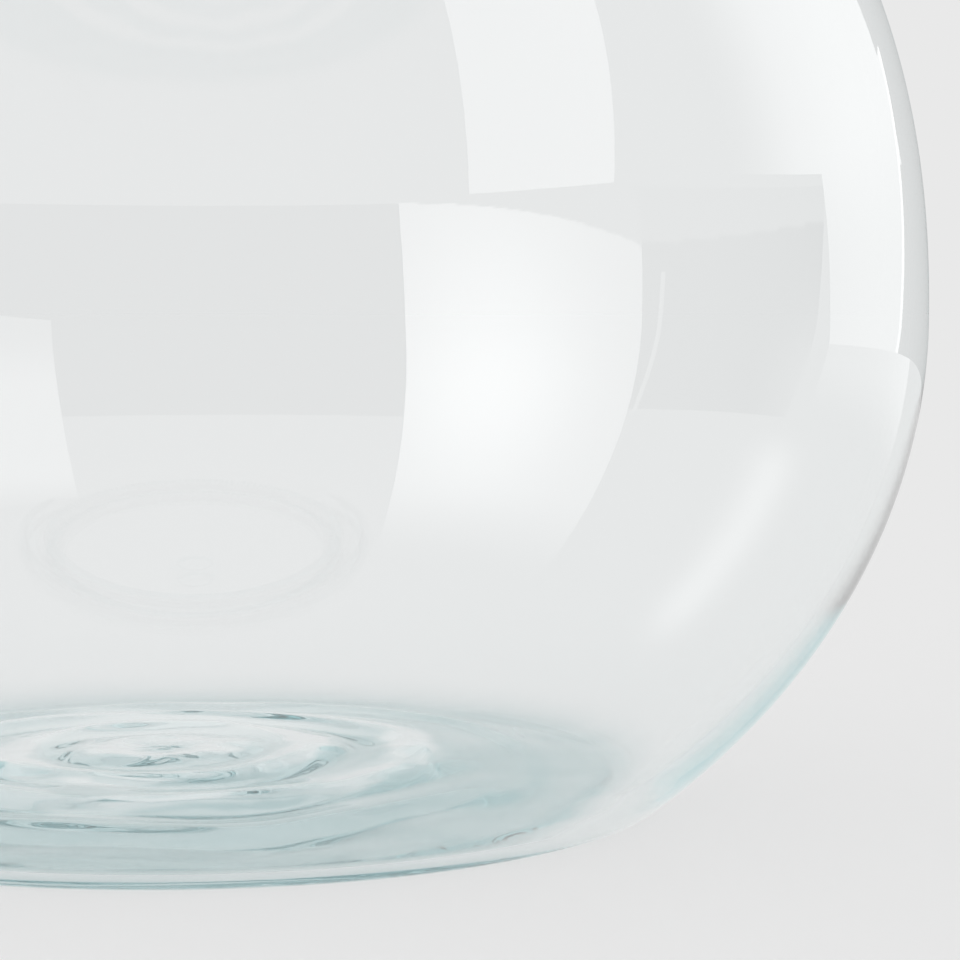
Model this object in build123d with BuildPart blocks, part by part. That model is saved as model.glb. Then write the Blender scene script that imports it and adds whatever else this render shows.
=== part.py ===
"""Glass cloche: a blown glass globe that stands on its own thick base, with a lift-off bell-shaped cover.

Every piece is turned about the Z axis. The origin is the centre of the foot, on the table, and +Z is up.
"""

import os
from math import acos, asin, cos, pi, sin

from build123d import *

# Globe: above and below its widest circle the wall follows a superellipse
belly_radius = 150.0
belly_height = 99.9
wall_at_belly = 3.6
wall_at_shoulder = 3.6
lower_depth = 129.9
lower_power = 1.97
upper_rise = 149.9
upper_power = 2.24
inner_lower_depth = 124.5
wall_points = 9

# Base: a flat foot ring under a floor that is pushed up in the middle
heel_rounding = 10.0
foot_inner_radius = 84.0
punt_height = 2.5
floor_low = 3.6
floor_middle = 8.5
floor_corner_rounding = 9.0
floor_points = 7
mound_power = 3

# Mouth
mouth_radius = 62.0
rim_thickness = 6.0
rim_height = 262.0
rim_rounding = 2.0
shoulder_rounding = 12.0

# Seal ring: a lip that lies on the rim and a sleeve round the cover's plug
seal_lip_thickness = 1.6
seal_sleeve_thickness = 1.5
seal_sleeve_length = 9.0
seal_rib_height = 1.0
seal_rib_width = 1.6
seal_rib_drops = (3.0, 6.5)

# Cover: a bell with a flange, a plug that hangs in the mouth, and a ball knob
flange_radius = 71.0
flange_thickness = 5.0
flange_rounding = 2.4
flange_corner_rounding = 4.0
plug_radius = 59.0
plug_length = 14.0
plug_edge_rounding = 1.6
bell_radius = 60.0
bell_wall = 5.0
bell_rise = 47.0
bell_crown_thickness = 4.0
bell_points = 6
knob_neck_radius = 8.0
knob_neck_length = 7.0
knob_radius = 15.0
knob_neck_rounding = 3.5
knob_ball_rounding = 2.0

rim_outer_radius = mouth_radius + rim_thickness
flange_underside = rim_height + seal_lip_thickness
bell_base = flange_underside + flange_thickness
bell_inner_radius = plug_radius - bell_wall
bell_inner_rise = bell_rise - bell_crown_thickness


def wall_curve(widest, extent, power, start_angle, end_angle):
    """Points on a quarter superellipse from start_angle to end_angle; extent is negative below the belly."""
    points = []
    for step in range(wall_points + 1):
        angle = start_angle + (end_angle - start_angle) * step / wall_points
        radius = widest * abs(cos(angle)) ** (2 / power)
        height = belly_height + extent * abs(sin(angle)) ** (2 / power)
        points.append((radius, height))
    return points


def angle_at_radius(radius, widest, power):
    """Curve angle where the wall has this radius."""
    return acos((radius / widest) ** (power / 2))


def angle_at_depth(depth, full_depth, power):
    """Curve angle where the wall is this far below the belly."""
    return asin((depth / full_depth) ** (power / 2))


def mound(edge_radius, edge_height, middle_height):
    """Points of a flat-topped mound from its edge to the axis."""
    points = []
    for step in range(floor_points):
        radius = edge_radius * (1 - step / (floor_points - 1))
        share = 1 - (radius / edge_radius) ** mound_power
        points.append((radius, edge_height + (middle_height - edge_height) * share))
    return points


def mound_tangents(edge_radius, edge_height, middle_height):
    """Directions of the mound's curve at its edge and on the axis."""
    slope = mound_power * (middle_height - edge_height) / edge_radius
    return [(-1, slope), (-1, 0)]


def outer_wall():
    """Outside of the globe, from the table up to the neck."""
    foot_angle = angle_at_depth(belly_height, lower_depth, lower_power)
    neck_angle = angle_at_radius(rim_outer_radius, belly_radius, upper_power)
    below = wall_curve(belly_radius, -lower_depth, lower_power, foot_angle, 0)
    above = wall_curve(belly_radius, upper_rise, upper_power, 0, neck_angle)
    return below + above[1:]


def inner_wall():
    """Inside of the globe, from the neck down to the floor."""
    widest = belly_radius - wall_at_belly
    neck_angle = angle_at_radius(mouth_radius, widest, upper_power)
    floor_angle = angle_at_depth(belly_height - floor_low, inner_lower_depth, lower_power)
    above = wall_curve(widest, upper_rise - wall_at_shoulder, upper_power, neck_angle, 0)
    below = wall_curve(widest, -inner_lower_depth, lower_power, 0, floor_angle)
    return above + below[1:]


def bell_inside_points():
    """Points of the quarter ellipse under the bell, from its base to its crown."""
    points = []
    for step in range(bell_points + 1):
        angle = pi / 2 * step / bell_points
        points.append((bell_inner_radius * cos(angle), bell_base + bell_inner_rise * sin(angle)))
    return points


os.makedirs("parts", exist_ok=True)

outer_points = outer_wall()
inner_points = inner_wall()
punt = (foot_inner_radius, 0, punt_height)
floor = (inner_points[-1][0], floor_low, floor_middle)

with BuildPart() as vessel:
    with BuildSketch(Plane.XZ):
        with BuildLine():
            Spline(*mound(*punt), tangents=mound_tangents(*punt))
            Line((foot_inner_radius, 0), outer_points[0])
            Spline(*outer_points)
            Polyline(
                outer_points[-1],
                (rim_outer_radius, rim_height),
                (mouth_radius, rim_height),
                inner_points[0],
            )
            Spline(*inner_points)
            Spline(*mound(*floor), tangents=mound_tangents(*floor))
            Line((0, floor_middle), (0, punt_height))
        make_face()
        fillet(vertices().sort_by_distance(outer_points[0])[0], heel_rounding)
        fillet(vertices().sort_by_distance(inner_points[-1])[0], floor_corner_rounding)
        fillet(vertices().sort_by_distance(outer_points[-1])[0], shoulder_rounding)
        fillet(vertices().sort_by_distance(inner_points[0])[0], shoulder_rounding + rim_thickness)
        fillet(vertices().sort_by_distance((rim_outer_radius, rim_height))[0], rim_rounding)
        fillet(vertices().sort_by_distance((mouth_radius, rim_height))[0], rim_rounding)
    revolve(axis=Axis.Z)
vessel.part.label = "vessel"
export_step(vessel.part, "parts/vessel.step")

with BuildPart() as seal_ring:
    with BuildSketch(Plane.XZ):
        with BuildLine():
            Polyline(
                (plug_radius, flange_underside),
                (rim_outer_radius - rim_rounding, flange_underside),
                (rim_outer_radius - rim_rounding, rim_height),
                (plug_radius + seal_sleeve_thickness, rim_height),
                (plug_radius + seal_sleeve_thickness, rim_height - seal_sleeve_length),
                (plug_radius, rim_height - seal_sleeve_length),
                close=True,
            )
        make_face()
        rib_places = [(plug_radius + seal_sleeve_thickness, rim_height - drop) for drop in seal_rib_drops]
        with Locations(*rib_places):
            Ellipse(seal_rib_height, seal_rib_width / 2)
    revolve(axis=Axis.Z)
seal_ring.part.label = "seal_ring"
export_step(seal_ring.part, "parts/seal_ring.step")

ball_drop = (knob_radius**2 - knob_neck_radius**2) ** 0.5
knob_neck_angle = acos(knob_neck_radius / bell_radius) * 180 / pi
ball_start_angle = -acos(knob_neck_radius / knob_radius) * 180 / pi

with BuildPart() as cover:
    with BuildSketch(Plane.XZ):
        with BuildLine():
            Polyline(
                (bell_inner_radius, bell_base),
                (bell_inner_radius, flange_underside - plug_length),
                (plug_radius, flange_underside - plug_length),
                (plug_radius, flange_underside),
                (flange_radius, flange_underside),
                (flange_radius, bell_base),
                (bell_radius, bell_base),
            )
            bell_outside = EllipticalCenterArc(
                (0, bell_base), bell_radius, bell_rise, start_angle=0, arc_size=knob_neck_angle
            )
            neck_foot = bell_outside @ 1
            neck_head = (neck_foot.X, neck_foot.Y + knob_neck_length)
            Line(neck_foot, neck_head)
            ball_centre = (0, neck_head[1] + ball_drop)
            CenterArc(ball_centre, knob_radius, ball_start_angle, 90 - ball_start_angle)
            Line((0, ball_centre[1] + knob_radius), (0, bell_base + bell_inner_rise))
            Spline(*bell_inside_points(), tangents=[(0, 1), (-1, 0)])
        make_face()
        fillet(vertices().sort_by_distance((bell_radius, bell_base))[0], flange_corner_rounding)
        for height in (flange_underside, bell_base):
            fillet(vertices().sort_by_distance((flange_radius, height))[0], flange_rounding)
        for radius in (plug_radius, bell_inner_radius):
            plug_corner = (radius, flange_underside - plug_length)
            fillet(vertices().sort_by_distance(plug_corner)[0], plug_edge_rounding)
        fillet(vertices().sort_by_distance(neck_foot)[0], knob_neck_rounding)
        fillet(vertices().sort_by_distance(neck_head)[0], knob_ball_rounding)
    revolve(axis=Axis.Z)
cover.part.label = "cover"
export_step(cover.part, "parts/cover.step")
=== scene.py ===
"""Looks of the glass cloche: a blown globe with a rippled base, a lift-off cover and their seal."""

import math

import bmesh
import bpy
import numpy as np
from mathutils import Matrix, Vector, noise


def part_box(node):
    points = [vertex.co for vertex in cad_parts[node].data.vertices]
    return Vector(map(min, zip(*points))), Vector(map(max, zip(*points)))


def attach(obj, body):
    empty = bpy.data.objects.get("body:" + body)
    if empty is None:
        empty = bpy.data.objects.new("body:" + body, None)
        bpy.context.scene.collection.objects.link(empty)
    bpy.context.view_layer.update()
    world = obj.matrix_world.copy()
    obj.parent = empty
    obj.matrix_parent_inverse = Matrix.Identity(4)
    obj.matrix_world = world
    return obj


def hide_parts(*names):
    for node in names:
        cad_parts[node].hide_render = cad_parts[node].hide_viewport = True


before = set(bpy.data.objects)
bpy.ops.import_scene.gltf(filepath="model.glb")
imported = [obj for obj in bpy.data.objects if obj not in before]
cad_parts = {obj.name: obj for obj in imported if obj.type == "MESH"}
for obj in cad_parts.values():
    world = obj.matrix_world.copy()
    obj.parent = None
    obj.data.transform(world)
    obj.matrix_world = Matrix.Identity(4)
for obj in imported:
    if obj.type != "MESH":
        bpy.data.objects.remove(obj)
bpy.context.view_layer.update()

MM = 0.001
TURN = 2 * math.pi

# Globe: the curves and thicknesses of the CAD globe, with its rim height read from its box
vessel_high = Vector(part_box("vessel")[1])
BELLY_RADIUS = 150.0 * MM
BELLY_HEIGHT = 99.9 * MM
LOWER_DEPTH = 129.9 * MM
LOWER_POWER = 1.97
UPPER_RISE = 149.9 * MM
UPPER_POWER = 2.24
WALL = 3.6 * MM
INNER_LOWER_DEPTH = 124.5 * MM
HEEL_ROUNDING = 10.0 * MM
FLOOR_LOW = 3.6 * MM
FLOOR_MIDDLE = 8.5 * MM
FLOOR_CORNER_ROUNDING = 9.0 * MM
FOOT_INNER_RADIUS = 84.0 * MM
PUNT_HEIGHT = 2.5 * MM
MOUND_POWER = 3
MOUTH_RADIUS = 62.0 * MM
RIM_RADIUS = 68.0 * MM
RIM_HEIGHT = vessel_high.z
RIM_ROUNDING = 2.6 * MM
SHOULDER_ROUNDING = 12.0 * MM

# How finely the glass is cut
ROUND_SEGMENTS = 240
WALL_STEP = 2.4 * MM
RIM_STEP = 0.8 * MM
FLOOR_STEP = 1.0 * MM
COVER_STEP = 1.1 * MM
CURVE_STEP = 0.1 * MM

# The wall is hand work: away from its ends it leans in by up to twice this share, in patches of this size
UNEVEN_SHARE = 0.0004
UNEVEN_SIZE = 55.0 * MM
EVEN_END = 12.0 * MM

# Ripples that the cooling gather left in the floor
RIPPLE_CENTRE = Vector((-6.0 * MM, 2.0 * MM))
RIPPLE_SPACING = 21.0 * MM
FIRST_CREST = 8.5 * MM
RIPPLE_HEIGHT = 0.85 * MM
RIPPLE_REACH = 88.0 * MM
RIPPLE_FADE_START = 68.0 * MM
RIPPLE_FADE_END = 86.0 * MM
FULL_RINGS_FROM = 22.0 * MM

# The rings wander and change in strength from place to place, and are calmer to the right
WANDER = 7.0 * MM
WANDER_SIZE = 42.0 * MM
MEAN_STRENGTH = 0.75
STRENGTH_SPREAD = 0.9
STRENGTH_SIZE = 24.0 * MM
STRENGTH_NOISE_PLACE = Vector((5, 1, 2))
CALM_START = 30.0 * MM
CALM_END = 62.0 * MM
CALM_SHARE = 0.65

# Fine streaks run round the same point
STREAK_STRENGTH = 0.3
STREAK_WIDTH = 7.0 * MM
STREAK_BREAKS = 1.6


# ---------------------------------------------------------------- outlines
def superellipse(widest, extent, power, start, end):
    """Rows of (radius, height) along a quarter superellipse; extent is negative below the belly."""
    count = int(abs(end - start) * widest / CURVE_STEP)
    angles = np.linspace(start, end, count)
    radius = widest * np.abs(np.cos(angles)) ** (2 / power)
    height = BELLY_HEIGHT + extent * np.abs(np.sin(angles)) ** (2 / power)
    return np.stack([radius, height], axis=1)


def angle_at_radius(radius, widest, power):
    """Curve angle where the wall has this radius."""
    return math.acos((radius / widest) ** (power / 2))


def angle_at_depth(depth, full_depth, power):
    """Curve angle where the wall is this far below the belly."""
    return math.asin((depth / full_depth) ** (power / 2))


def straight(start, end):
    """Rows of points along a straight line."""
    start, end = np.array(start), np.array(end)
    count = max(int(np.linalg.norm(end - start) / CURVE_STEP), 2)
    return start + (end - start) * np.linspace(0, 1, count)[:, None]


def mound(edge_radius, edge_height, middle_height):
    """Rows of points over a flat-topped mound, from its edge to the axis."""
    radius = np.linspace(edge_radius, 0, int(edge_radius / CURVE_STEP))
    share = 1 - (radius / edge_radius) ** MOUND_POWER
    return np.stack([radius, edge_height + (middle_height - edge_height) * share], axis=1)


def shifted(row, distance):
    """The row moved sideways, to its left where the distance is positive."""
    along = np.gradient(row, axis=0)
    along /= np.linalg.norm(along, axis=1)[:, None]
    return row + distance * np.stack([-along[:, 1], along[:, 0]], axis=1)


def rounded_chain(rows, corners):
    """Rows joined end to end by arcs. A corner is (radius, side); side 1 puts the centre on the left."""
    done, last = [], rows[0]
    for following, (radius, side) in zip(rows[1:], corners):
        near_last, near_next = shifted(last, side * radius), shifted(following, side * radius)
        gaps = np.linalg.norm(near_last[:, None] - near_next[None], axis=2)
        i, j = np.unravel_index(gaps.argmin(), gaps.shape)
        centre = (near_last[i] + near_next[j]) / 2
        start = math.atan2(*(last[i] - centre)[::-1])
        sweep = math.atan2(*(following[j] - centre)[::-1]) - start
        sweep = (sweep + math.pi) % TURN - math.pi
        count = max(int(abs(sweep) * radius / CURVE_STEP), 3)
        angles = start + sweep * np.linspace(0, 1, count)[1:-1]
        done.append(last[: i + 1])
        done.append(centre + radius * np.stack([np.cos(angles), np.sin(angles)], axis=1))
        last = following[j:]
    return np.concatenate(done + [last])


def evenly(row, step):
    """The row cut again into equal steps."""
    lengths = np.concatenate([[0], np.cumsum(np.linalg.norm(np.diff(row, axis=0), axis=1))])
    wanted = np.linspace(0, lengths[-1], max(int(round(lengths[-1] / step)), 2) + 1)
    return np.stack([np.interp(wanted, lengths, row[:, k]) for k in (0, 1)], axis=1)


def lathe(name, rows, segments):
    """A closed mesh turned about Z. The first and last points of rows are on the axis."""
    rings = rows[1:-1]
    count = len(rings)
    turns = np.arange(segments) * TURN / segments
    points = np.zeros((segments, count, 3))
    points[:, :, 0] = np.cos(turns)[:, None] * rings[None, :, 0]
    points[:, :, 1] = np.sin(turns)[:, None] * rings[None, :, 0]
    points[:, :, 2] = rings[None, :, 1]
    corners = [tuple(p) for p in points.reshape(-1, 3)]
    first_pole, last_pole = len(corners), len(corners) + 1
    corners += [(0, 0, rows[0][1]), (0, 0, rows[-1][1])]
    faces = []
    for turn in range(segments):
        here, there = turn * count, ((turn + 1) % segments) * count
        faces.append((first_pole, there, here))
        faces += [(here + k, there + k, there + k + 1, here + k + 1) for k in range(count - 1)]
        faces.append((last_pole, here + count - 1, there + count - 1))
    mesh = bpy.data.meshes.new(name)
    mesh.from_pydata(corners, [], faces)
    mesh.update()
    tidy = bmesh.new()
    tidy.from_mesh(mesh)
    bmesh.ops.recalc_face_normals(tidy, faces=tidy.faces)
    tidy.to_mesh(mesh)
    tidy.free()
    mesh.polygons.foreach_set("use_smooth", [True] * len(mesh.polygons))
    piece = bpy.data.objects.new(name, mesh)
    bpy.context.scene.collection.objects.link(piece)
    return piece


# ---------------------------------------------------------------- globe
def globe_outline():
    """Rows of the globe's half section, from its underside round to its floor, and where the floor starts."""
    foot_angle = angle_at_depth(BELLY_HEIGHT, LOWER_DEPTH, LOWER_POWER)
    neck_angle = angle_at_radius(RIM_RADIUS, BELLY_RADIUS, UPPER_POWER)
    below = superellipse(BELLY_RADIUS, -LOWER_DEPTH, LOWER_POWER, foot_angle, 0)
    above = superellipse(BELLY_RADIUS, UPPER_RISE, UPPER_POWER, 0, neck_angle)
    outside = np.concatenate([below, above[1:]])
    underside = mound(FOOT_INNER_RADIUS, 0, PUNT_HEIGHT)[::-1]
    foot = straight((FOOT_INNER_RADIUS, 0), outside[0])
    neck = straight(outside[-1], (RIM_RADIUS, RIM_HEIGHT))
    rim = straight((RIM_RADIUS, RIM_HEIGHT), (MOUTH_RADIUS, RIM_HEIGHT))

    widest = BELLY_RADIUS - WALL
    mouth_angle = angle_at_radius(MOUTH_RADIUS, widest, UPPER_POWER)
    floor_angle = angle_at_depth(BELLY_HEIGHT - FLOOR_LOW, INNER_LOWER_DEPTH, LOWER_POWER)
    inner_above = superellipse(widest, UPPER_RISE - WALL, UPPER_POWER, mouth_angle, 0)
    inner_below = superellipse(widest, -INNER_LOWER_DEPTH, LOWER_POWER, 0, floor_angle)
    inside = np.concatenate([inner_above, inner_below[1:]])
    throat = straight((MOUTH_RADIUS, RIM_HEIGHT), inside[0])
    floor = mound(inside[-1][0], FLOOR_LOW, FLOOR_MIDDLE)

    outline = rounded_chain(
        [foot, outside, neck, rim, throat, inside, floor],
        [
            (HEEL_ROUNDING, 1),
            (SHOULDER_ROUNDING, -1),
            (RIM_ROUNDING, 1),
            (RIM_ROUNDING, 1),
            (SHOULDER_ROUNDING + RIM_RADIUS - MOUTH_RADIUS, 1),
            (FLOOR_CORNER_ROUNDING, -1),
        ],
    )
    is_inner_floor = (outline[:, 0] < RIPPLE_REACH) & (outline[:, 1] < BELLY_HEIGHT)
    is_inner_floor &= np.arange(len(outline)) > len(outline) / 2
    floor_start = int(np.argmax(is_inner_floor))
    near_rim = np.flatnonzero(outline[:, 1] > RIM_HEIGHT - 2 * RIM_ROUNDING)
    rim_start, rim_end = near_rim[0], near_rim[-1]
    stretches = [
        (underside, WALL_STEP),
        (outline[: rim_start + 1], WALL_STEP),
        (outline[rim_start : rim_end + 1], RIM_STEP),
        (outline[rim_end:floor_start], WALL_STEP),
    ]
    walls = np.concatenate([evenly(row, step)[:-1] for row, step in stretches])
    return np.concatenate([walls, evenly(outline[floor_start - 1 :], FLOOR_STEP)]), len(walls)


def smooth_step(low, high, value):
    """0 below low, 1 above high, and a smooth rise between them."""
    share = min(max((value - low) / (high - low), 0), 1)
    return share * share * (3 - 2 * share)


def ripple(x, y):
    """Height of the frozen ripples at a place on the floor: broken rings round a point near the middle."""
    offset = Vector((x, y)) - RIPPLE_CENTRE
    distance = offset.length
    heading = math.atan2(offset.y, offset.x)
    place = Vector((x, y, 0))
    wander = WANDER * noise.noise(place / WANDER_SIZE)
    phase = TURN * (distance + wander - FIRST_CREST) / RIPPLE_SPACING
    strength = MEAN_STRENGTH + STRENGTH_SPREAD * noise.noise(place / STRENGTH_SIZE + STRENGTH_NOISE_PLACE)
    rings = strength * math.cos(phase) * smooth_step(0, FULL_RINGS_FROM, distance)
    around = Vector((math.cos(heading), math.sin(heading), 0)) * STREAK_BREAKS
    streaks = STREAK_STRENGTH * noise.noise(around + Vector((0, 0, distance / STREAK_WIDTH)))
    calm = 1 - CALM_SHARE * smooth_step(CALM_START, CALM_END, x)
    fade = 1 - smooth_step(RIPPLE_FADE_START, RIPPLE_FADE_END, math.hypot(x, y))
    return RIPPLE_HEIGHT * (rings * calm + streaks) * fade


def make_globe():
    """The globe of blown glass, with ripples in its floor and the slight unevenness of hand work."""
    rows, floor_start = globe_outline()
    piece = lathe("blown_globe", rows, ROUND_SEGMENTS)
    ring_count = len(rows) - 2
    for vertex in piece.data.vertices:
        x, y, z = vertex.co
        on_floor = vertex.index >= ROUND_SEGMENTS * ring_count + 1 or (
            vertex.index < ROUND_SEGMENTS * ring_count and vertex.index % ring_count + 1 >= floor_start
        )
        if on_floor:
            vertex.co.z += ripple(x, y)
        elif EVEN_END < z < RIM_HEIGHT - EVEN_END:
            uneven = 1 - UNEVEN_SHARE * (1 + noise.noise(vertex.co / UNEVEN_SIZE))
            vertex.co.x *= uneven
            vertex.co.y *= uneven
    return piece


# ---------------------------------------------------------------- cover
SEAL_LIP = 1.6 * MM
FLANGE_UNDERSIDE = RIM_HEIGHT + SEAL_LIP
FLANGE_RADIUS = 71.0 * MM
FLANGE_THICKNESS = 5.0 * MM
PLUG_RADIUS = 59.0 * MM
PLUG_LENGTH = 14.0 * MM
BELL_RADIUS = 60.0 * MM
BELL_INNER_RADIUS = 54.0 * MM
BELL_RISE = 47.0 * MM
BELL_INNER_RISE = 43.0 * MM
KNOB_NECK_RADIUS = 8.0 * MM
KNOB_NECK_LENGTH = 7.0 * MM
KNOB_RADIUS = 15.0 * MM
PLUG_EDGE_ROUNDING = 1.6 * MM
PLUG_TOP_ROUNDING = 0.5 * MM
FLANGE_ROUNDING = 2.4 * MM
FLANGE_CORNER_ROUNDING = 4.0 * MM
KNOB_NECK_ROUNDING = 3.5 * MM
KNOB_BALL_ROUNDING = 2.0 * MM


def ellipse(widest, rise, base, start, end):
    """Rows of (radius, height) along an ellipse whose centre is on the axis at base."""
    angles = np.linspace(start, end, int(abs(end - start) * widest / CURVE_STEP))
    return np.stack([widest * np.cos(angles), base + rise * np.sin(angles)], axis=1)


def make_cover():
    """The bell cover: crown, plug, flange, bell and ball knob as one piece of glass."""
    bell_base = FLANGE_UNDERSIDE + FLANGE_THICKNESS
    plug_foot = FLANGE_UNDERSIDE - PLUG_LENGTH
    knob_angle = math.acos(KNOB_NECK_RADIUS / BELL_RADIUS)
    crown = ellipse(BELL_INNER_RADIUS, BELL_INNER_RISE, bell_base, math.pi / 2, 0)
    plug_inside = straight((BELL_INNER_RADIUS, bell_base), (BELL_INNER_RADIUS, plug_foot))
    bell = ellipse(BELL_RADIUS, BELL_RISE, bell_base, 0, knob_angle)
    neck_top = bell[-1][1] + KNOB_NECK_LENGTH
    ball_centre = neck_top + math.sqrt(KNOB_RADIUS**2 - KNOB_NECK_RADIUS**2)
    ball_start = -math.acos(KNOB_NECK_RADIUS / KNOB_RADIUS)
    ball = ellipse(KNOB_RADIUS, KNOB_RADIUS, ball_centre, ball_start, math.pi / 2)
    rows = [
        np.concatenate([crown, plug_inside[1:]]),
        straight((BELL_INNER_RADIUS, plug_foot), (PLUG_RADIUS, plug_foot)),
        straight((PLUG_RADIUS, plug_foot), (PLUG_RADIUS, FLANGE_UNDERSIDE)),
        straight((PLUG_RADIUS, FLANGE_UNDERSIDE), (FLANGE_RADIUS, FLANGE_UNDERSIDE)),
        straight((FLANGE_RADIUS, FLANGE_UNDERSIDE), (FLANGE_RADIUS, bell_base)),
        straight((FLANGE_RADIUS, bell_base), (BELL_RADIUS, bell_base)),
        bell,
        straight(bell[-1], (KNOB_NECK_RADIUS, neck_top)),
        ball,
    ]
    corners = [
        (PLUG_EDGE_ROUNDING, 1),
        (PLUG_EDGE_ROUNDING, 1),
        (PLUG_TOP_ROUNDING, -1),
        (FLANGE_ROUNDING, 1),
        (FLANGE_ROUNDING, 1),
        (FLANGE_CORNER_ROUNDING, -1),
        (KNOB_NECK_ROUNDING, -1),
        (KNOB_BALL_ROUNDING, -1),
    ]
    outline = rounded_chain(rows, corners)
    return lathe("bell_cover", evenly(outline, COVER_STEP), ROUND_SEGMENTS // 2)


# ---------------------------------------------------------------- materials
GLASS_IOR = 1.5
ABSORBED_LEAST = (0.0, 0.62, 0.66, 1)
ABSORPTION_DENSITY = 3.4
# Base colour: partly the teal of the thick glass, partly painted shade of the shadowed floor seen through the
# base
BASE_TINT_AND_PAINTED_SHADE = (0.49, 0.645, 0.655)
NO_TINT = (1, 1, 1)

# The base's tint and painted shade reach out to here, measured from the centre of the foot
TINT_AND_SHADE_FADE_START = 84.0 * MM
TINT_AND_SHADE_FADE_END = 102.0 * MM

# Towards the back of the base the tint and its painted shade are weaker
PALE_PATCH_CENTRE = (-4.0 * MM, 42.0 * MM, 7.0 * MM)
PALE_PATCH_CORE = 18.0 * MM
PALE_PATCH_EDGE = 60.0 * MM
PALE_PATCH_SHARE = 0.2

# Pale rings stand in for the light on the ripples' crests. They run round the same point and are as far
# apart as the crests, but wander by themselves. They reach out to here, measured from that point
PALE_RINGS_START = 48.0 * MM
PALE_RINGS_END = 80.0 * MM

# A pale ring runs from 0 at its edge to 1 in its middle. Its wandering is in radians of phase
PALE_RING_FROM = 0.35
PALE_RING_FULL = 0.75
PALE_RING_SHARE = 0.05
PALE_RING_WANDER = 3.0
PALE_RING_WANDER_DETAIL = 2
PALE_RING_WANDER_SCALE = 2.8

# A wave texture at scale 1 has this many radians of phase to a metre
WAVE_RADIANS = 20

# Cords are streaks of slightly different glass, drawn out from left to right
CORD_STRETCH = (0.35, 1, 1)
CORD_SCALE = 70
CORD_DETAIL = 3
CORD_FROM = 0.35
CORD_FULL = 0.65
CORD_SHARE = 0.72

# Slow waves in the surface, too low to model
WAVE_SCALE = 14
WAVE_DETAIL = 1
WAVE_STRENGTH = 0.15
WAVE_HEIGHT = 0.2 * MM

SILICONE_COLOUR = (0.86, 0.89, 0.89, 1)
SILICONE_IOR = 1.42
SILICONE_CLEARNESS = 0.65
SILICONE_GRAIN_SCALE = 900
SILICONE_ROUGHNESS = (0.28, 0.45)


def smooth_range(nodes, links, source, low, high, at_low, at_high):
    """A smooth ramp of a value, from at_low where it is low to at_high where it is high."""
    ramp = nodes.new("ShaderNodeMapRange")
    ramp.interpolation_type = "SMOOTHSTEP"
    ramp.inputs["From Min"].default_value = low
    ramp.inputs["From Max"].default_value = high
    ramp.inputs["To Min"].default_value = at_low
    ramp.inputs["To Max"].default_value = at_high
    links.new(source, ramp.inputs["Value"])
    return ramp.outputs["Result"]


def product(nodes, links, first, second):
    """The product of two values."""
    multiply = nodes.new("ShaderNodeMath")
    multiply.operation = "MULTIPLY"
    links.new(first, multiply.inputs[0])
    links.new(second, multiply.inputs[1])
    return multiply.outputs["Value"]


def new_material(name):
    """A new material, with its nodes, its links and its main shader."""
    material = bpy.data.materials.new(name)
    material.use_nodes = True
    nodes = material.node_tree.nodes
    return material, nodes, material.node_tree.links, nodes["Principled BSDF"]


def share_in_tinted_and_shaded_base(nodes, links, place):
    """1 inside the base, where its tint and painted shade go, fading to 0 in the wall."""
    from_foot = nodes.new("ShaderNodeVectorMath")
    from_foot.operation = "LENGTH"
    links.new(place, from_foot.inputs[0])
    return smooth_range(nodes, links, from_foot.outputs["Value"], TINT_AND_SHADE_FADE_START, TINT_AND_SHADE_FADE_END, 1, 0)


def share_off_patch(nodes, links, place):
    """1 away from the pale patch, and less inside it."""
    from_patch = nodes.new("ShaderNodeVectorMath")
    from_patch.operation = "DISTANCE"
    from_patch.inputs[1].default_value = PALE_PATCH_CENTRE
    links.new(place, from_patch.inputs[0])
    distance = from_patch.outputs["Value"]
    return smooth_range(nodes, links, distance, PALE_PATCH_CORE, PALE_PATCH_EDGE, PALE_PATCH_SHARE, 1)


def share_in_cords(nodes, links, place):
    """1 in the darker cords of the glass, and a little less between them."""
    drawn_out = nodes.new("ShaderNodeMapping")
    drawn_out.inputs["Scale"].default_value = CORD_STRETCH
    links.new(place, drawn_out.inputs["Vector"])
    cords = nodes.new("ShaderNodeTexNoise")
    cords.inputs["Scale"].default_value = CORD_SCALE
    cords.inputs["Detail"].default_value = CORD_DETAIL
    links.new(drawn_out.outputs["Vector"], cords.inputs["Vector"])
    return smooth_range(nodes, links, cords.outputs["Fac"], CORD_FROM, CORD_FULL, CORD_SHARE, 1)


def share_off_pale_rings(nodes, links, place):
    """1 between the pale rings, and next to nothing on them."""
    from_centre = nodes.new("ShaderNodeVectorMath")
    from_centre.operation = "SUBTRACT"
    from_centre.inputs[1].default_value = (*RIPPLE_CENTRE, 0)
    links.new(place, from_centre.inputs[0])
    distance = nodes.new("ShaderNodeVectorMath")
    distance.operation = "LENGTH"
    links.new(from_centre.outputs["Vector"], distance.inputs[0])
    rings = nodes.new("ShaderNodeTexWave")
    rings.wave_type = "RINGS"
    rings.rings_direction = "Z"
    rings.inputs["Scale"].default_value = TURN / (WAVE_RADIANS * RIPPLE_SPACING)
    rings.inputs["Distortion"].default_value = PALE_RING_WANDER
    rings.inputs["Detail"].default_value = PALE_RING_WANDER_DETAIL
    rings.inputs["Detail Scale"].default_value = PALE_RING_WANDER_SCALE
    links.new(from_centre.outputs["Vector"], rings.inputs["Vector"])
    near_centre = smooth_range(
        nodes, links, distance.outputs["Value"], PALE_RINGS_START, PALE_RINGS_END, 1, 0
    )
    ring = product(nodes, links, rings.outputs["Fac"], near_centre)
    return smooth_range(nodes, links, ring, PALE_RING_FROM, PALE_RING_FULL, 1, PALE_RING_SHARE)


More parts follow.
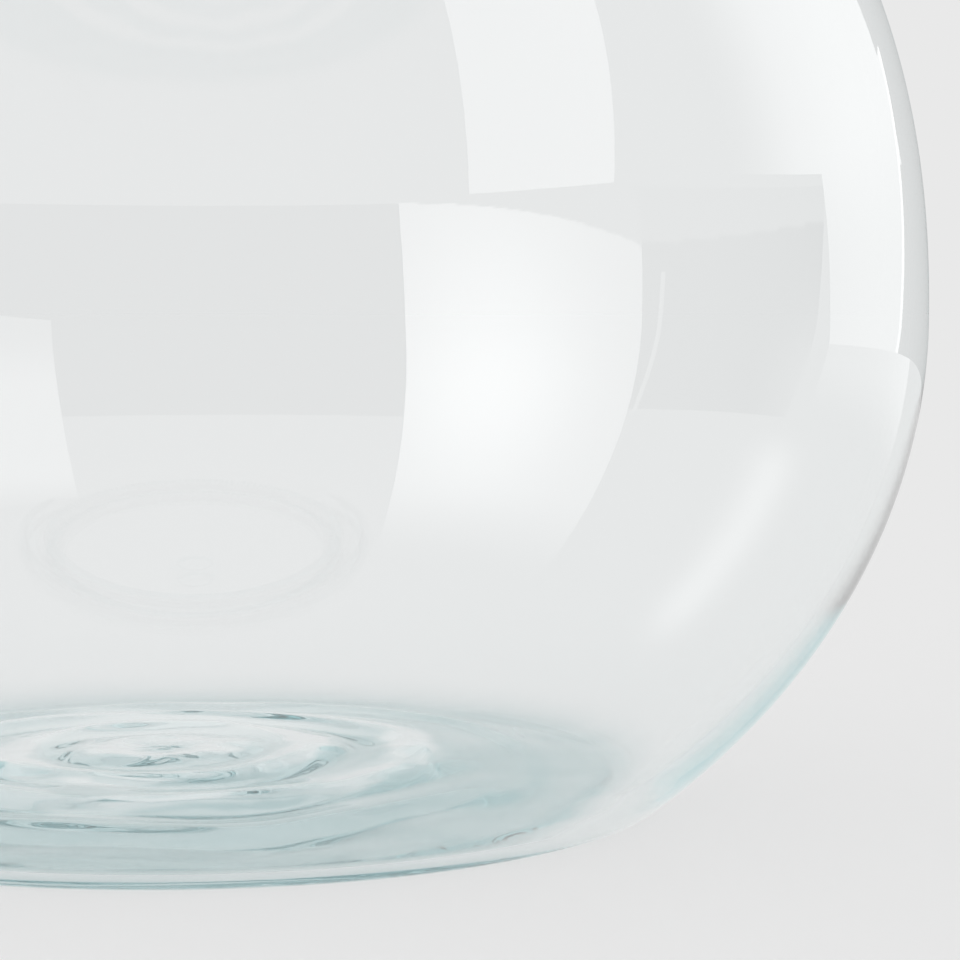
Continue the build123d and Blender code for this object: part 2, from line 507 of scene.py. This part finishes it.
def glass_material(name, tint_and_shade):
    """Clear glass, tinted where it is thick by absorption, and in the base by a colour that is partly the
    thick glass's own teal and partly painted shade.
    """
    material, nodes, links, shader = new_material(name)
    shader.inputs["Roughness"].default_value = 0.0
    shader.inputs["IOR"].default_value = GLASS_IOR
    shader.inputs["Transmission Weight"].default_value = 1.0

    place = nodes.new("ShaderNodeTexCoord").outputs["Object"]
    share = share_in_tinted_and_shaded_base(nodes, links, place)
    for part_of_share in (share_off_patch, share_in_cords, share_off_pale_rings):
        share = product(nodes, links, share, part_of_share(nodes, links, place))
    # In the base the colour mixes in the glass's teal tint together with painted shade
    colour = nodes.new("ShaderNodeMix")
    colour.data_type = "RGBA"
    colour.inputs["A"].default_value = (*NO_TINT, 1)
    colour.inputs["B"].default_value = (*tint_and_shade, 1)
    links.new(share, colour.inputs["Factor"])
    links.new(colour.outputs["Result"], shader.inputs["Base Color"])

    waves = nodes.new("ShaderNodeTexNoise")
    waves.inputs["Scale"].default_value = WAVE_SCALE
    waves.inputs["Detail"].default_value = WAVE_DETAIL
    links.new(place, waves.inputs["Vector"])
    bump = nodes.new("ShaderNodeBump")
    bump.inputs["Strength"].default_value = WAVE_STRENGTH
    bump.inputs["Distance"].default_value = WAVE_HEIGHT
    links.new(waves.outputs["Fac"], bump.inputs["Height"])
    links.new(bump.outputs["Normal"], shader.inputs["Normal"])

    absorption = nodes.new("ShaderNodeVolumeAbsorption")
    absorption.inputs["Color"].default_value = ABSORBED_LEAST
    absorption.inputs["Density"].default_value = ABSORPTION_DENSITY
    links.new(absorption.outputs["Volume"], nodes["Material Output"].inputs["Volume"])
    return material


def silicone_material():
    """Milky clear silicone with a fine moulded grain."""
    material, nodes, links, shader = new_material("clear_silicone")
    shader.inputs["Base Color"].default_value = SILICONE_COLOUR
    shader.inputs["IOR"].default_value = SILICONE_IOR
    shader.inputs["Transmission Weight"].default_value = SILICONE_CLEARNESS
    grain = nodes.new("ShaderNodeTexNoise")
    grain.inputs["Scale"].default_value = SILICONE_GRAIN_SCALE
    place = nodes.new("ShaderNodeTexCoord")
    links.new(place.outputs["Object"], grain.inputs["Vector"])
    gloss = nodes.new("ShaderNodeMapRange")
    gloss.inputs["To Min"].default_value = SILICONE_ROUGHNESS[0]
    gloss.inputs["To Max"].default_value = SILICONE_ROUGHNESS[1]
    links.new(grain.outputs["Fac"], gloss.inputs["Value"])
    links.new(gloss.outputs["Result"], shader.inputs["Roughness"])
    return material


# ---------------------------------------------------------------- studio
# Brightness of the even white surround, and how much brighter it is straight overhead
SURROUND = 0.815
ZENITH_GAIN = 0.12

# The floor is a little below the foot. Its glow makes up for the light that its low albedo loses
FLOOR_ALBEDO = 0.22
FLOOR_DROP = 0.1 * MM
FLOOR_SIDES = 128
FLOOR_GLOW = SURROUND - FLOOR_ALBEDO * (SURROUND + ZENITH_GAIN / 2)
DOME_RADIUS = 12.0

# Light that is trapped in the thick base crosses it many times before it leaves
GLASS_BOUNCES = 72
DIFFUSE_BOUNCES = 3

CAMERA_PLACE = (0, -0.6017, 0.1061)
CAMERA_DOWN = 3.78
CAMERA_RIGHT = 5.64
CAMERA_LENS = 108.75
CAMERA_SENSOR = 36
CAMERA_CLIP = (0.01, 60)


def direction(azimuth, elevation):
    """Unit vector; azimuth 0 points from the globe to the camera side (-Y) and turns towards +X."""
    a, e = math.radians(azimuth), math.radians(elevation)
    return Vector((math.sin(a) * math.cos(e), -math.cos(a) * math.cos(e), math.sin(e)))


def only_in_reflections(piece):
    """Hides a piece from everything but glossy rays."""
    piece.visible_camera = False
    piece.visible_diffuse = False
    piece.visible_transmission = False
    piece.visible_volume_scatter = False
    piece.visible_shadow = False


def glow_material():
    """Light as strong as the mesh's own glow values say."""
    material = bpy.data.materials.new("studio_glow")
    material.use_nodes = True
    nodes, links = material.node_tree.nodes, material.node_tree.links
    nodes.clear()
    output = nodes.new("ShaderNodeOutputMaterial")
    emission = nodes.new("ShaderNodeEmission")
    level = nodes.new("ShaderNodeAttribute")
    level.attribute_name = "glow"
    links.new(level.outputs["Fac"], emission.inputs["Strength"])
    links.new(emission.outputs["Emission"], output.inputs["Surface"])
    return material


def card(name, corners, level, depth, steps, material):
    """A studio card seen only in reflections, depth in front of the dome and cut into steps across and up.

    Corners are (azimuth, elevation) in degrees: low left, low right, high left, high right.
    """
    across, up = steps
    points, glow = [], []
    for row in range(up + 1):
        v = row / up
        for column in range(across + 1):
            u = column / across
            azimuth, elevation = (
                (1 - v) * ((1 - u) * corners[0][k] + u * corners[1][k])
                + v * ((1 - u) * corners[2][k] + u * corners[3][k])
                for k in (0, 1)
            )
            points.append(direction(azimuth, elevation) * (DOME_RADIUS - depth))
            glow.append(level(azimuth, elevation))
    width = across + 1
    starts = [row * width + column for row in range(up) for column in range(across)]
    faces = [(start, start + 1, start + width + 1, start + width) for start in starts]
    mesh = bpy.data.meshes.new(name)
    mesh.from_pydata(points, [], faces)
    attribute = mesh.attributes.new("glow", "FLOAT", "POINT")
    attribute.data.foreach_set("value", glow)
    mesh.materials.append(material)
    piece = bpy.data.objects.new(name, mesh)
    bpy.context.scene.collection.objects.link(piece)
    only_in_reflections(piece)


def bell_curve(value, middle, spread):
    """1 at the middle, falling off smoothly on both sides."""
    return math.exp(-(((value - middle) / spread) ** 2))


def steady(value):
    """A level that is the same all over a card."""
    return lambda azimuth, elevation: value


def softbox_level(azimuth, elevation):
    """The main softbox: brightest in its middle, with an arched top, fading out below."""
    edge, core_gain = 2.0, 3.0
    arch_height, arch_sag, arch_azimuth, arch_width = 10.8, 5.0, 29, 38
    if elevation > arch_height - arch_sag * ((azimuth - arch_azimuth) / arch_width) ** 2:
        return SURROUND
    lit = edge + core_gain * bell_curve(azimuth, 42, 16) * bell_curve(elevation, -10, 20)
    return SURROUND + (lit - SURROUND) * smooth_step(-43, -27, elevation)


def window_level(azimuth, elevation):
    """A window on the left: it fades out below and is dimmer in its upper part."""
    gain, upper_loss = 1.5, 0.7
    rise = smooth_step(-34, -26, elevation)
    return SURROUND + gain * rise * (1 - upper_loss * smooth_step(-12, 0, elevation))


def panel_level(azimuth, elevation):
    """The white panel on the right: it brightens away from the camera, then falls off."""
    gain, low_share, far_loss = 1.2, 0.7, 0.6
    upwards = low_share + (1 - low_share) * smooth_step(2, 12, elevation)
    rise = smooth_step(84, 104, azimuth) * upwards
    return SURROUND + gain * rise * (1 - far_loss * smooth_step(108, 145, azimuth))


def panel_foot_level(azimuth, elevation):
    """Under the panel: a dim glow that fades out below."""
    gain = 0.35
    return SURROUND + gain * smooth_step(-11, -4, elevation)


def dark_right_level(azimuth, elevation):
    """The dark card on the right: paler along its top, and it catches some light at its far lower corner."""
    top_level, top_starts = 0.6, 6
    dark, corner_gain = 0.1, 0.7
    if elevation > top_starts:
        return top_level
    return dark + corner_gain * smooth_step(88, 106, azimuth) * (1 - smooth_step(-8, 5, elevation))


def streak_level(azimuth, elevation):
    """A soft upright streak that fades out at both ends."""
    gain, middle, spread = 1.0, 100.0, 6.0
    ends = smooth_step(-44, -36, elevation) * (1 - smooth_step(-19, -12.5, elevation))
    return SURROUND + gain * bell_curve(azimuth, middle, spread) * ends


# Each card: name, corners, level, depth, steps
CARDS = [
    ("surround_card", [(-180, -90), (180, -90), (-180, 90), (180, 90)], steady(SURROUND), 0, (72, 36)),
    ("softbox", [(31.4, -43), (64.9, -43), (29, 11), (67.2, 11)], softbox_level, 0.4, (60, 240)),
    ("high_softbox", [(39.6, 11.6), (63.2, 11.9), (42.5, 45), (73, 45)], steady(2.75), 0.4, (24, 24)),
    ("left_window", [(-36, -33), (-17.9, -31), (-36, 1), (-19.4, 0)], window_level, 0.4, (24, 24)),
    ("dark_left", [(-75, -16.5), (30, -16.5), (-75, 10.8), (30, 10.8)], steady(0.0), 0.2, (24, 24)),
    ("dark_right", [(66, -13.5), (99, -12), (66, 11.4), (108, 8.4)], dark_right_level, 0.2, (60, 60)),
    ("panel", [(107.8, -2.6), (133, -2.6), (107.8, 12), (142, 12)], panel_level, 0.4, (24, 24)),
    ("panel_top", [(84, 11.4), (140, 6.4), (80, 50), (138, 50)], panel_level, 0.4, (40, 24)),
    ("panel_edge", [(132, -2.6), (133.4, -2.6), (141, 12), (142.4, 12)], steady(1.7), 0.5, (24, 24)),
    ("thin_tube", [(66.9, -14), (67.7, -14), (70.3, 3.5), (71.1, 3.5)], steady(1.1), 0.5, (24, 24)),
    ("panel_foot", [(104, -12), (141, -12), (107.8, -2.6), (141, -2.6)], panel_foot_level, 0.4, (24, 24)),
    ("right_streak", [(88, -44), (111, -44), (88, -12.5), (111, -12.5)], streak_level, 0.3, (46, 24)),
    ("dark_back", [(133, -2.6), (178, -2.6), (140, 40), (178, 40)], steady(0.57), 0.2, (24, 24)),
    ("dark_far_left", [(-172, -22), (-98, -22), (-172, 38), (-98, 38)], steady(0.42), 0.2, (24, 24)),
]


def make_studio():
    """A plain floor and an even white surround, with cards that show only as reflections in the glass."""
    glow = glow_material()
    for description in CARDS:
        card(*description, glow)

    bpy.ops.mesh.primitive_circle_add(
        vertices=FLOOR_SIDES, radius=DOME_RADIUS, fill_type="NGON", location=(0, 0, -FLOOR_DROP)
    )
    floor = bpy.context.object
    floor.name = "studio_floor"
    material, nodes, links, shader = new_material("floor_white")
    shader.inputs["Base Color"].default_value = (FLOOR_ALBEDO, FLOOR_ALBEDO, FLOOR_ALBEDO, 1)
    shader.inputs["Roughness"].default_value = 1.0
    shader.inputs["Specular IOR Level"].default_value = 0.0
    shader.inputs["Emission Color"].default_value = (1, 1, 1, 1)
    shader.inputs["Emission Strength"].default_value = FLOOR_GLOW
    floor.data.materials.append(material)
    floor.visible_glossy = False

    world = bpy.data.worlds.new("studio_light")
    bpy.context.scene.world = world
    world.use_nodes = True
    nodes, links = world.node_tree.nodes, world.node_tree.links
    place = nodes.new("ShaderNodeTexCoord")
    split = nodes.new("ShaderNodeSeparateXYZ")
    links.new(place.outputs["Generated"], split.inputs["Vector"])
    height = nodes.new("ShaderNodeMath")
    height.operation = "MAXIMUM"
    height.inputs[1].default_value = 0.0
    links.new(split.outputs["Z"], height.inputs[0])
    square = nodes.new("ShaderNodeMath")
    square.operation = "POWER"
    square.inputs[1].default_value = 2.0
    links.new(height.outputs["Value"], square.inputs[0])
    strength = nodes.new("ShaderNodeMath")
    strength.operation = "MULTIPLY_ADD"
    strength.inputs[1].default_value = ZENITH_GAIN
    strength.inputs[2].default_value = SURROUND
    links.new(square.outputs["Value"], strength.inputs[0])
    nodes["Background"].inputs["Color"].default_value = (1, 1, 1, 1)
    links.new(strength.outputs["Value"], nodes["Background"].inputs["Strength"])


def make_camera():
    """A long lens a little above the belly, turned so that the globe's lower right fills the frame."""
    data = bpy.data.cameras.new("camera")
    data.sensor_width = CAMERA_SENSOR
    data.lens = CAMERA_LENS
    data.clip_start, data.clip_end = CAMERA_CLIP
    camera = bpy.data.objects.new("camera", data)
    camera.location = CAMERA_PLACE
    camera.rotation_euler = (math.radians(90 - CAMERA_DOWN), 0, -math.radians(CAMERA_RIGHT))
    bpy.context.scene.collection.objects.link(camera)
    bpy.context.scene.camera = camera


def set_light_paths():
    """Plain colours, and enough bounces for light that is trapped in the glass."""
    scene = bpy.context.scene
    scene.view_settings.view_transform = "Standard"
    scene.cycles.max_bounces = GLASS_BOUNCES
    scene.cycles.transmission_bounces = GLASS_BOUNCES
    scene.cycles.glossy_bounces = GLASS_BOUNCES
    scene.cycles.diffuse_bounces = DIFFUSE_BOUNCES


# ---------------------------------------------------------------- assembly
make_camera()
set_light_paths()
make_studio()

globe = make_globe()
# The globe's base colour is partly the glass's teal tint and partly painted shade
globe.data.materials.append(glass_material("blown_glass", BASE_TINT_AND_PAINTED_SHADE))
globe.visible_shadow = False
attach(globe, "vessel")
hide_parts("vessel")

cover = make_cover()
cover.data.materials.append(glass_material("cover_glass", NO_TINT))
cover.visible_shadow = False
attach(cover, "cover")
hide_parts("cover")

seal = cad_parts["seal_ring"]
for slot in seal.material_slots:
    slot.material = silicone_material()
